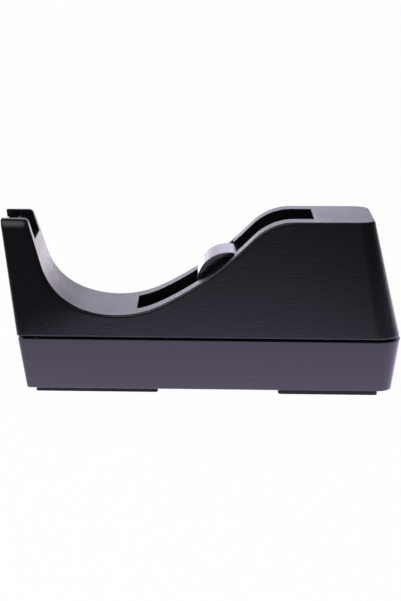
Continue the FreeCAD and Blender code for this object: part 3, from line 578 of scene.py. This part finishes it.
def pad_rubber(name, colour):
    """Matt foamed rubber with fine pores and scuffs."""
    material, tree = new_material(name, ior=1.45)
    place = object_place(tree)
    pores = noise(tree, place, scale=2600.0, detail=3.0, roughness=0.6)
    scuffs = noise(tree, place, scale=90.0, detail=4.0, roughness=0.6)
    skin = varied(tree, scuffs, colour, darkest=0.8, lightest=1.35)
    gloss = ramp(tree, pores, *NOISE_MIDDLE, before=0.72, after=0.88)
    finish_with(tree, skin, gloss, bump(tree, pores, distance=0.06 * MM))
    return material


def dress(node_name, material):
    """Give a carried-over node its procedural material."""
    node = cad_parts[node_name]
    node.data.materials.clear()
    node.data.materials.append(material)


# ---------------------------------------------------------------- modelling helpers
LEVEL = 0.9                    # a face is level if the Z of its normal is past this
CROWN_STEPS = 4                # bevels round a screw head's crown
THREAD_CREST, THREAD_FOOT = 0.35, 0.7   # how far up its pitch the thread peaks and ends
POINT_SHARE = 0.3              # radius of the point's flat, in radii of the thread's root
RECESS_TAPER = 0.6             # the recess's floor, in sizes of its mouth
SMOOTH_BELOW = math.radians(35)         # edges that bend less than this look smooth


def deselect_all():
    for item in bpy.context.selected_objects:
        item.select_set(False)


def settle(piece, name, material, body, node_names):
    """Put a finished piece's place into its mesh, name it and hand it to its body."""
    deselect_all()
    bpy.context.view_layer.objects.active = piece
    piece.select_set(True)
    bpy.ops.object.transform_apply(location=True, rotation=True, scale=True)
    piece.name = name
    piece.data.name = name
    piece.data.materials.clear()
    piece.data.materials.append(material)
    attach(piece, body)
    for node_name in node_names:
        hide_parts(node_name)


def mark_faces(piece, test):
    """Select only the faces that pass the test, and leave the piece in edit mode."""
    bpy.ops.object.mode_set(mode="OBJECT")
    mesh = piece.data
    for items in (mesh.vertices, mesh.edges, mesh.polygons):
        items.foreach_set("select", [False] * len(items))
    for face in mesh.polygons:
        face.select = test(face)
    bpy.ops.object.mode_set(mode="EDIT")
    bpy.ops.mesh.select_mode(type="FACE")


def shrink_marked(share):
    """Shrink what is marked towards the Z axis."""
    bpy.ops.transform.resize(value=(share, share, 1.0), center_override=(0.0, 0.0, 0.0))


def shank_steps(head_height, shank, length, settings):
    """Radius and height of each ring up the thread and its point."""
    pitch, root = settings.thread_pitch, shank - settings.thread_depth
    steps = []
    height = head_height + pitch
    while height + pitch < length - shank:
        steps += [
            (root, height),
            (shank, height + THREAD_CREST * pitch),
            (root, height + THREAD_FOOT * pitch),
        ]
        height += pitch
    return steps + [(root, length - shank), (POINT_SHARE * root, length)]


def cut_recess(screw, settings):
    """Cut the tapered cross into the crown, one arm at a time."""
    for turn in (0.0, math.pi / 2):
        deselect_all()
        bpy.ops.mesh.primitive_cube_add(size=1.0, rotation=(0.0, 0.0, turn))
        cutter = bpy.context.object
        cutter.scale = (2 * settings.recess_reach, settings.recess_width, 2 * settings.recess_depth)
        mark_faces(cutter, lambda face: face.normal.z > LEVEL)
        shrink_marked(RECESS_TAPER)
        bpy.ops.object.mode_set(mode="OBJECT")
        deselect_all()
        bpy.context.view_layer.objects.active = screw
        screw.select_set(True)
        cut = screw.modifiers.new("Recess", "BOOLEAN")
        cut.operation = "DIFFERENCE"
        cut.solver = "EXACT"
        cut.object = cutter
        bpy.ops.object.modifier_apply(modifier=cut.name)
        bpy.data.objects.remove(cutter)


def model_screw(head, head_height, shank, length, settings):
    """Cross-recess thread-forming screw on the Z axis, standing on its crown at z = 0."""
    deselect_all()
    bpy.ops.mesh.primitive_cylinder_add(vertices=settings.facets, radius=head, depth=head_height,
                                        location=(0.0, 0.0, head_height / 2))
    screw = bpy.context.object
    bpy.ops.object.transform_apply(location=True, rotation=False, scale=False)
    mark_faces(screw, lambda face: face.normal.z < -LEVEL)
    bpy.ops.mesh.bevel(offset=settings.head_dome, segments=CROWN_STEPS, affect="EDGES")
    mark_faces(screw, lambda face: face.normal.z > LEVEL)
    bpy.ops.mesh.inset(thickness=head - shank)
    radius, height = shank, head_height
    for next_radius, next_height in shank_steps(head_height, shank, length, settings):
        bpy.ops.mesh.extrude_region_move(
            TRANSFORM_OT_translate={"value": (0.0, 0.0, next_height - height)})
        shrink_marked(next_radius / radius)
        radius, height = next_radius, next_height
    bpy.ops.object.mode_set(mode="OBJECT")
    cut_recess(screw, settings)
    bpy.ops.object.shade_smooth_by_angle(angle=SMOOTH_BELOW)
    return screw


def screw_set(node_name, head, head_height, shank, rows, settings):
    """Screws in pairs at the given rows, standing where the node's screws stand, as one piece."""
    low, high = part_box(node_name)
    screw = model_screw(head, head_height, shank, high[2] - low[2], settings)
    spread = high[1] - head
    copies = []
    for row in rows:
        for side in (-1, 1):
            copy = screw.copy()
            copy.data = screw.data.copy()
            copy.location = (row, side * spread, low[2])
            bpy.context.scene.collection.objects.link(copy)
            copies.append(copy)
    bpy.data.objects.remove(screw)
    deselect_all()
    for copy in copies:
        copy.select_set(True)
    bpy.context.view_layer.objects.active = copies[0]
    bpy.ops.object.join()
    return bpy.context.object


# ---------------------------------------------------------------- what gloss shows of the room
# Each is where a change starts and ends, then the amounts before and after it if they aren't
# 0 and 1. On the table these are metres, and in the room shares of the ray's unit direction.
TABLE_BEHIND = (0.02, 0.25)                 # the table in front gives way to the one behind
TABLE_BESIDE = (0.045, 0.10, 0.0, 0.75)     # the table in front is dimmer at both sides,
TABLE_AHEAD = (0.06, 0.15)                  # from this far in front
BACKDROP_SIDES = (0.35, 0.65)               # and so far past the part's ends on the table
BACKDROP_TOP = (0.30, 0.46, 1.0, 0.0)
BACKDROP_BEHIND = (0.1, 0.5)
BACKDROP_RISE = (0.12, 0.20, 0.92, 1.25)    # brighter upwards,
BACKDROP_FOOT = (0.0, 0.10, 0.55, 0.0)      # with this much more at its foot
BACKDROP_POOL = (0.03, 0.06, 1.14, 1.32)    # brighter right of the middle,
BACKDROP_FADE = (0.070, 0.092, 1.0, 0.55)   # and dimmer further right
PAPER = (0.9, 0.9, 0.9)


def backdrop_window(tree, aside, settings):
    """Backdrop brightness that falls off towards both sides."""
    return ramp(tree, aside, *BACKDROP_SIDES, settings.backdrop_glow, settings.room_gloom)


def fade(tree, distance, reach):
    """1 at no distance, and about a third of that for each reach further."""
    return maths(tree, "EXPONENT", product(tree, distance, -1.0 / reach))


def not_below_zero(tree, value):
    return maths(tree, "MAXIMUM", value, 0.0)


def shining(tree, kind, colour, strength=1.0):
    """Emission or Background shader of this colour and strength."""
    node = tree.nodes.new(kind)
    feed(tree, node.inputs["Color"], colour)
    feed(tree, node.inputs["Strength"], strength)
    return node.outputs[0]


def mix_shaders(tree, share, first, second):
    node = tree.nodes.new("ShaderNodeMixShader")
    feed(tree, node.inputs["Fac"], share)
    tree.links.new(first, node.inputs[1])
    tree.links.new(second, node.inputs[2])
    return node.outputs[0]


def by_ray(tree, lighting, mirrored, seen):
    """Shader that differs for the rays of plain light, of gloss and of the camera."""
    rays = tree.nodes.new("ShaderNodeLightPath").outputs
    glossy = maths(tree, "MAXIMUM", rays["Is Glossy Ray"], rays["Is Transmission Ray"])
    shader = mix_shaders(tree, glossy, lighting, mirrored)
    return mix_shaders(tree, rays["Is Camera Ray"], shader, seen)


def mirrored_table(tree, settings):
    """Lit table that fades with distance in front, and meets the backdrop behind."""
    place = axes(tree, object_place(tree))
    across = maths(tree, "ABSOLUTE", place["X"])
    aside = not_below_zero(tree, total(tree, across, WHOLE_LOW.x))   # past the part's ends
    ahead = not_below_zero(tree, product(tree, place["Y"], -1.0))
    away = maths(tree, "SQRT", total(tree, maths(tree, "POWER", ahead, 2.0),
                                     maths(tree, "POWER", aside, 2.0)))
    glow = product(tree, fade(tree, away, settings.table_reach), settings.table_glow)
    dimmed = product(tree, ramp(tree, across, *TABLE_BESIDE), ramp(tree, ahead, *TABLE_AHEAD))
    glow = product(tree, glow, maths(tree, "SUBTRACT", 1.0, dimmed))
    glow = total(tree, glow, settings.table_haze)
    retreat = not_below_zero(tree, place["Y"])
    lift = product(tree, fade(tree, retreat, settings.far_table_reach), settings.far_table_lift)
    beyond = product(tree, backdrop_window(tree, aside, settings), total(tree, lift, 1.0))
    behind = ramp(tree, place["Y"], *TABLE_BEHIND)
    return shining(tree, "ShaderNodeEmission",
                   blend(tree, behind, settings.table_colour, settings.far_table_colour),
                   blend(tree, behind, glow, beyond, "FLOAT"))


def mirrored_room(tree, settings):
    """Lit backdrop that stands behind the part in a dark room."""
    ray = axes(tree, tree.nodes.new("ShaderNodeTexCoord").outputs["Generated"])
    light = total(tree, ramp(tree, ray["Z"], *BACKDROP_RISE), ramp(tree, ray["Z"], *BACKDROP_FOOT))
    for direction, change in (("X", BACKDROP_POOL), ("X", BACKDROP_FADE), ("Z", BACKDROP_TOP),
                              ("Y", BACKDROP_BEHIND)):
        light = product(tree, light, ramp(tree, ray[direction], *change))
    aside = maths(tree, "ABSOLUTE", ray["X"])
    light = product(tree, light, backdrop_window(tree, aside, settings))
    return shining(tree, "ShaderNodeBackground", settings.backdrop_colour,
                   maths(tree, "MAXIMUM", light, settings.room_gloom))


def pale_sweep(settings):
    """Floor that the camera sees as white, and gloss as a lit table."""
    material = bpy.data.materials.new("Pale sweep")
    material.use_nodes = True
    tree = material.node_tree
    tree.nodes.clear()
    paper = tree.nodes.new("ShaderNodeBsdfDiffuse")
    feed(tree, paper.inputs["Color"], PAPER)
    white = shining(tree, "ShaderNodeEmission", WHITE)
    seen = mix_shaders(tree, settings.floor_shade, white, paper.outputs[0])
    shader = by_ray(tree, paper.outputs[0], mirrored_table(tree, settings), seen)
    tree.links.new(shader, tree.nodes.new("ShaderNodeOutputMaterial").inputs["Surface"])
    return material


def studio(settings):
    """World of soft white light, in which gloss shows the backdrop."""
    world = bpy.data.worlds.new("Studio")
    world.use_nodes = True
    tree = world.node_tree
    tree.nodes.clear()
    soft = shining(tree, "ShaderNodeBackground", WHITE, settings.room_light)
    white = shining(tree, "ShaderNodeBackground", WHITE)
    shader = by_ray(tree, soft, mirrored_room(tree, settings), white)
    tree.links.new(shader, tree.nodes.new("ShaderNodeOutputWorld").inputs["Surface"])
    return world


# ---------------------------------------------------------------- operators
class DISPENSER_OT_stage(bpy.types.Operator):
    """Lay the pale floor, light it softly and place the camera"""
    bl_idname = "dispenser.stage"
    bl_label = "Stage"

    def execute(self, context):
        settings = context.scene.dispenser_stage
        self.place_camera(context, settings)
        self.lay_floor(settings)
        self.hang_softbox(context, settings)
        context.scene.world = studio(settings)
        context.scene.view_settings.view_transform = "Standard"
        return {"FINISHED"}

    def place_camera(self, context, settings):
        data = bpy.data.cameras.new("Camera")
        data.lens = settings.lens
        data.sensor_width = 36.0
        data.sensor_fit = "AUTO"
        data.clip_start = 0.01
        data.clip_end = 50.0
        camera = bpy.data.objects.new("Camera", data)
        context.scene.collection.objects.link(camera)
        turn = Matrix.Rotation(math.pi / 2 - settings.elevation, 4, "X")
        turn = turn @ Matrix.Rotation(settings.roll, 4, "Z")
        away = Vector((0.0, -math.cos(settings.elevation), math.sin(settings.elevation)))
        place = Vector(settings.target) + away * settings.distance
        camera.matrix_world = Matrix.Translation(place) @ turn
        context.scene.camera = camera

    def lay_floor(self, settings):
        deselect_all()
        bpy.ops.mesh.primitive_plane_add(size=settings.floor_size, location=(0, 0, WHOLE_LOW.z))
        floor = bpy.context.object
        floor.name = "floor"
        floor.data.materials.append(pale_sweep(settings))

    def hang_softbox(self, context, settings):
        data = bpy.data.lights.new("Overhead softbox", "AREA")
        data.shape = "SQUARE"
        data.size = settings.key_size
        data.energy = settings.key_power
        lamp = bpy.data.objects.new("Overhead softbox", data)
        context.scene.collection.objects.link(lamp)
        lamp.location = settings.key_place
        lamp.rotation_euler = Vector(settings.key_place).to_track_quat("Z", "Y").to_euler()


class DISPENSER_OT_effects(bpy.types.Operator):
    """Build the shared surface effects"""
    bl_idname = "dispenser.effects"
    bl_label = "Surface effects"

    def execute(self, context):
        make_grain_group()
        make_edge_group()
        make_dust_group()
        return {"FINISHED"}


class DISPENSER_OT_shell(bpy.types.Operator):
    """Finish the upper shell and the blade holder in satin black"""
    bl_idname = "dispenser.shell"
    bl_label = "Upper shell"

    def execute(self, context):
        finish = context.scene.dispenser_finish
        # the shell's lighter edges are wear together with a painted highlight
        satin = moulded_plastic("Satin black shell", finish.shell_colour, finish.shell_roughness,
                                finish.shell_grain, dust=finish.shell_dust, wear=finish.shell_wear_and_sheen)
        dress("upper_shell", satin)
        dress("blade_holder", satin)
        return {"FINISHED"}


class DISPENSER_OT_lower(bpy.types.Operator):
    """Finish the lower housing, its drawer and the deck"""
    bl_idname = "dispenser.lower"
    bl_label = "Lower housing and drawer"

    def execute(self, context):
        finish = context.scene.dispenser_finish
        # the lower housing gets painted shade in the shadow gap above gap_height
        smooth = moulded_plastic("Smooth black housing", finish.base_colour, finish.base_roughness,
                                 finish.smooth_grain, dust=finish.base_dust,
                                 recess=finish.gap_height)
        dress("base_housing", smooth)
        dress("drawer_tray", smooth)
        inner = moulded_plastic("Matt black inner", finish.inner_colour, finish.inner_roughness,
                                finish.inner_grain)
        dress("bay_deck", inner)
        return {"FINISHED"}


class DISPENSER_OT_hub(bpy.types.Operator):
    """Finish the roller hub in polished black"""
    bl_idname = "dispenser.hub"
    bl_label = "Roller hub"

    def execute(self, context):
        finish = context.scene.dispenser_finish
        polished = moulded_plastic("Polished black hub", finish.hub_colour, finish.hub_roughness,
                                   finish.smooth_grain, ior=HUB_IOR, coat=finish.hub_coat)
        dress("hub_barrel", polished)
        dress("hub_cap", polished)
        return {"FINISHED"}


class DISPENSER_OT_metal(bpy.types.Operator):
    """Finish the cutter blade and the ballast"""
    bl_idname = "dispenser.metal"
    bl_label = "Blade and ballast"

    def execute(self, context):
        finish = context.scene.dispenser_finish
        strip = rolled_steel("Rolled steel strip", finish.steel_colour, finish.steel_roughness,
                             STRIP_LINES)
        dress("cutter_blade", strip)
        dress("ballast_block", cast_metal("Cast ballast", finish.iron_colour))
        return {"FINISHED"}


class DISPENSER_OT_screws(bpy.types.Operator):
    """Put cross-recess screws where the plain ones stand"""
    bl_idname = "dispenser.screws"
    bl_label = "Screws"

    def execute(self, context):
        settings = context.scene.dispenser_screws
        finish = context.scene.dispenser_finish
        plate = rolled_steel("Zinc plated screw", finish.screw_colour, finish.screw_roughness,
                             PLATE_GRAIN)
        low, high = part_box("case_screws")
        rows = (low[0] + settings.case_head, settings.case_middle_row, high[0] - settings.case_head)
        case = screw_set("case_screws", settings.case_head, settings.case_head_height,
                         settings.case_shank, rows, settings)
        settle(case, "case_screw_set", plate, "dispenser", ["case_screws"])
        low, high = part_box("holder_screws")
        holder = screw_set("holder_screws", settings.holder_head, settings.holder_head_height,
                           settings.holder_shank, ((low[0] + high[0]) / 2,), settings)
        settle(holder, "holder_screw_set", plate, "dispenser", ["holder_screws"])
        return {"FINISHED"}


class DISPENSER_OT_pads(bpy.types.Operator):
    """Finish the two non-slip pads"""
    bl_idname = "dispenser.pads"
    bl_label = "Non-slip pads"

    def execute(self, context):
        rubber = pad_rubber("Pad rubber", context.scene.dispenser_finish.rubber_colour)
        dress("front_pad", rubber)
        dress("rear_pad", rubber)
        return {"FINISHED"}


class DISPENSER_PT_panel(bpy.types.Panel):
    """Settings and steps of the tape dispenser"""
    bl_idname = "DISPENSER_PT_panel"
    bl_label = "Tape dispenser"
    bl_space_type = "VIEW_3D"
    bl_region_type = "UI"
    bl_category = "Dispenser"

    def draw(self, context):
        for group in SETTINGS:
            settings = getattr(context.scene, group)
            column = self.layout.column()
            for label in settings.__annotations__:
                column.prop(settings, label)
        for operator in OPERATORS:
            self.layout.operator(operator.bl_idname)


SETTINGS = {
    "dispenser_stage": DispenserStageSettings,
    "dispenser_finish": DispenserFinishSettings,
    "dispenser_screws": DispenserScrewSettings,
}
OPERATORS = (
    DISPENSER_OT_stage,
    DISPENSER_OT_effects,
    DISPENSER_OT_shell,
    DISPENSER_OT_lower,
    DISPENSER_OT_hub,
    DISPENSER_OT_metal,
    DISPENSER_OT_screws,
    DISPENSER_OT_pads,
)


def register():
    for name, settings in SETTINGS.items():
        bpy.utils.register_class(settings)
        setattr(bpy.types.Scene, name, PointerProperty(type=settings))
    for operator in OPERATORS:
        bpy.utils.register_class(operator)
    bpy.utils.register_class(DISPENSER_PT_panel)


def unregister():
    bpy.utils.unregister_class(DISPENSER_PT_panel)
    for operator in reversed(OPERATORS):
        bpy.utils.unregister_class(operator)
    for name, settings in SETTINGS.items():
        delattr(bpy.types.Scene, name)
        bpy.utils.unregister_class(settings)


def main():
    register()
    bpy.ops.dispenser.stage()
    bpy.ops.dispenser.effects()
    bpy.ops.dispenser.shell()
    bpy.ops.dispenser.lower()
    bpy.ops.dispenser.hub()
    bpy.ops.dispenser.metal()
    bpy.ops.dispenser.screws()
    bpy.ops.dispenser.pads()


if __name__ == "__main__":
    main()
